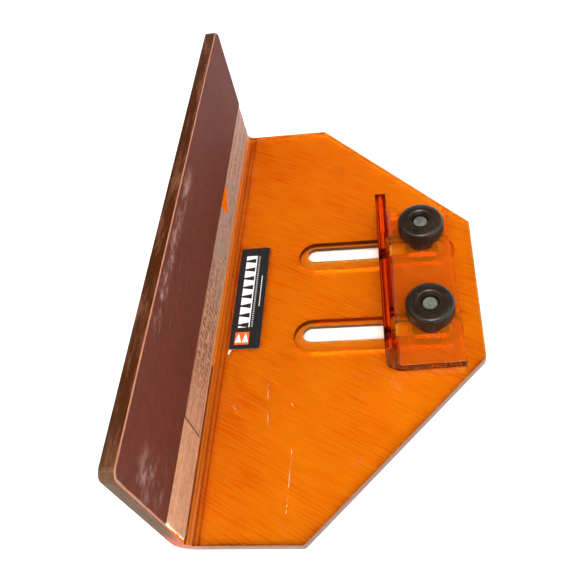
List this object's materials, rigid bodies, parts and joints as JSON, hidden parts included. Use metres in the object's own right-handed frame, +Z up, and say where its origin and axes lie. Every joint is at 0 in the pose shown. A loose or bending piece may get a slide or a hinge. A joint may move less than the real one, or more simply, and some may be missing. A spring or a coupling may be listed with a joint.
{
  "type": "dovetail jig",
  "caption": "Bent acrylic jig with an abrasive-faced fence, a slotted base and a sliding stop clamped by knurled knobs on carriage bolts.",
  "frame": {"origin": "centre of the footprint, on the surface that the base rests on", "axes": "+X from the fence towards the stop, +Y along the fence away from the viewer, +Z up"},
  "size_m": [0.1388, 0.254, 0.086],
  "materials": {
    "base_acrylic": "clear orange acrylic, polished faces, sawn and flamed edges",
    "stop_acrylic": "clear orange-red acrylic, polished faces",
    "abrasive_sheet": "maroon abrasive grit on paper, scuffed",
    "tan_paper": "matt tan paper, torn and wrinkled",
    "printed_label": null,
    "zinc_steel": "dull zinc plate",
    "black_plastic": "satin black moulded plastic, fine straight flutes",
    "brass_insert": "turned brass"
  },
  "bodies": {
    "jig": {"jig_body": "base_acrylic", "fence_sandpaper": "abrasive_sheet", "fence_paper_strip": "tan_paper", "base_label": "printed_label"},
    "stop_carriage": {"stop": "stop_acrylic", "bolt_near": "zinc_steel", "bolt_far": "zinc_steel"},
    "knob_near_lift": {"knob_insert_near": "brass_insert"},
    "knob_near": {"knob_grip_near": "black_plastic"},
    "knob_far_lift": {"knob_insert_far": "brass_insert"},
    "knob_far": {"knob_grip_far": "black_plastic"}
  },
  "joints": [
    {"name": "stop_slide", "type": "slide", "parent": "jig", "child": "stop_carriage", "axis": [1, 0, 0], "range_m": [-0.055, 0.004]},
    {"name": "knob_near_rise", "type": "slide", "parent": "stop_carriage", "child": "knob_near_lift", "axis": [0, 0, 1], "range_m": [0, 0.0029]},
    {"name": "knob_near_turn", "type": "hinge", "parent": "knob_near_lift", "child": "knob_near", "pos_m": [0.04439, -0.02539, 0.02], "axis": [0, 0, 1], "range_deg": [0, 720]},
    {"name": "knob_far_rise", "type": "slide", "parent": "stop_carriage", "child": "knob_far_lift", "axis": [0, 0, 1], "range_m": [0, 0.0029]},
    {"name": "knob_far_turn", "type": "hinge", "parent": "knob_far_lift", "child": "knob_far", "pos_m": [0.04261, 0.02539, 0.02], "axis": [0, 0, 1], "range_deg": [0, 720]}
  ],
  "couplings": [
    {"joint": "knob_near_rise", "follows": "knob_near_turn", "m_per_rad": 0.00022457},
    {"joint": "knob_far_rise", "follows": "knob_far_turn", "m_per_rad": 0.00022457}
  ]
}
